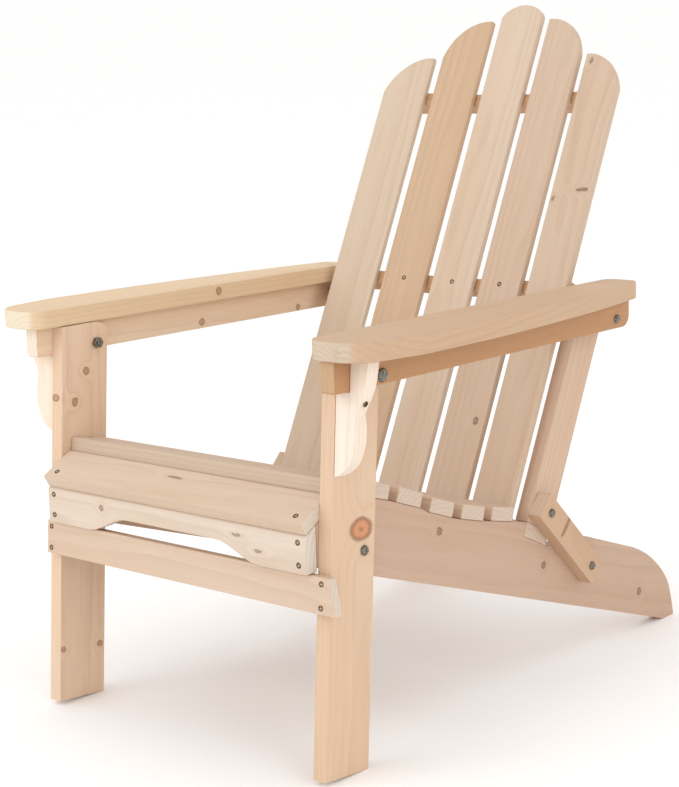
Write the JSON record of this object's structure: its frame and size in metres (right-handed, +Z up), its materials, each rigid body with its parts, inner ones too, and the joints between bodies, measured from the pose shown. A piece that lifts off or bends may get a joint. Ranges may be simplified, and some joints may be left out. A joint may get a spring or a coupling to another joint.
{
  "type": "slatted wooden garden armchair",
  "caption": "Folding slatted wooden garden armchair with a tall fanned-top back, broad rounded arms and sloping side boards that reach the floor as rear legs.",
  "frame": {"origin": "on the floor, under the middle of the overall box", "axes": "+Z up, -Y the way the sitter faces, +X the sitter's left"},
  "size_m": [0.656, 0.835, 0.9172],
  "materials": {
    "wood": "planed bare softwood, matte",
    "hardware": "plain zinc-plated bolts"
  },
  "bodies": {
    "seat_frame": {"stringer_left": "wood", "stringer_right": "wood", "seat_slat_1": "wood", "seat_slat_2": "wood", "seat_slat_3": "wood", "seat_slat_4": "wood", "seat_slat_5": "wood", "seat_slat_6": "wood", "seat_nosing": "wood", "seat_apron": "wood", "leg_pivot_bolt_left": "hardware", "leg_pivot_nut_left": "hardware", "link_foot_bolt_left": "hardware", "link_foot_nut_left": "hardware", "leg_pivot_bolt_right": "hardware", "leg_pivot_nut_right": "hardware", "link_foot_bolt_right": "hardware", "link_foot_nut_right": "hardware"},
    "front_legs": {"front_leg_left": "wood", "front_leg_right": "wood", "front_rail": "wood", "arm_bracket_left": "wood", "arm_bracket_right": "wood"},
    "arm_left": {"arm_left": "wood", "arm_rail_left": "wood", "arm_spacer_left": "wood", "arm_pivot_bolt_left": "hardware", "arm_pivot_nut_left": "hardware", "back_pivot_bolt_left": "hardware"},
    "arm_right": {"arm_right": "wood", "arm_rail_right": "wood", "arm_spacer_right": "wood", "arm_pivot_bolt_right": "hardware", "arm_pivot_nut_right": "hardware", "back_pivot_bolt_right": "hardware"},
    "link_left": {"link_left": "wood", "link_head_bolt_left": "hardware"},
    "link_right": {"link_right": "wood", "link_head_bolt_right": "hardware"},
    "backrest": {"back_post_left": "wood", "back_post_right": "wood", "back_slat_1": "wood", "back_slat_2": "wood", "back_slat_3": "wood", "back_slat_4": "wood", "back_slat_5": "wood", "back_lower_rail": "wood", "back_middle_rail": "wood", "back_top_rail": "wood", "link_head_pin_left": "hardware", "link_head_pin_right": "hardware", "back_pivot_pin_left": "hardware", "back_pivot_pin_right": "hardware"}
  },
  "joints": [
    {"name": "chair_fold", "type": "hinge", "parent": "seat_frame", "child": "link_left", "pos_m": [0, 0.1612, 0.139], "axis": [-1, 0, 0], "range_deg": [0, 81.5]},
    {"name": "back_turn", "type": "hinge", "parent": "link_left", "child": "backrest", "pos_m": [0, 0.0632, 0.235], "axis": [1, 0, 0], "range_deg": [0, 182.21]},
    {"name": "link_swing_right", "type": "hinge", "parent": "seat_frame", "child": "link_right", "pos_m": [0, 0.1612, 0.139], "axis": [-1, 0, 0], "range_deg": [0, 81.55]},
    {"name": "legs_fold", "type": "hinge", "parent": "seat_frame", "child": "front_legs", "pos_m": [0, -0.3298, 0.272], "axis": [1, 0, 0], "range_deg": [0, 80.55]},
    {"name": "arm_turn_left", "type": "hinge", "parent": "front_legs", "child": "arm_left", "pos_m": [0, -0.3128, 0.482], "axis": [-1, 0, 0], "range_deg": [0, 79.69]},
    {"name": "arm_turn_right", "type": "hinge", "parent": "front_legs", "child": "arm_right", "pos_m": [0, -0.3128, 0.482], "axis": [-1, 0, 0], "range_deg": [0, 79.69]}
  ],
  "couplings": [
    {"joint": "back_turn", "follows": "chair_fold", "ratio": 2.2345},
    {"joint": "link_swing_right", "follows": "chair_fold", "ratio": 1},
    {"joint": "legs_fold", "follows": "chair_fold", "ratio": 0.98773},
    {"joint": "arm_turn_left", "follows": "chair_fold", "ratio": 0.97718},
    {"joint": "arm_turn_right", "follows": "chair_fold", "ratio": 0.97718}
  ]
}
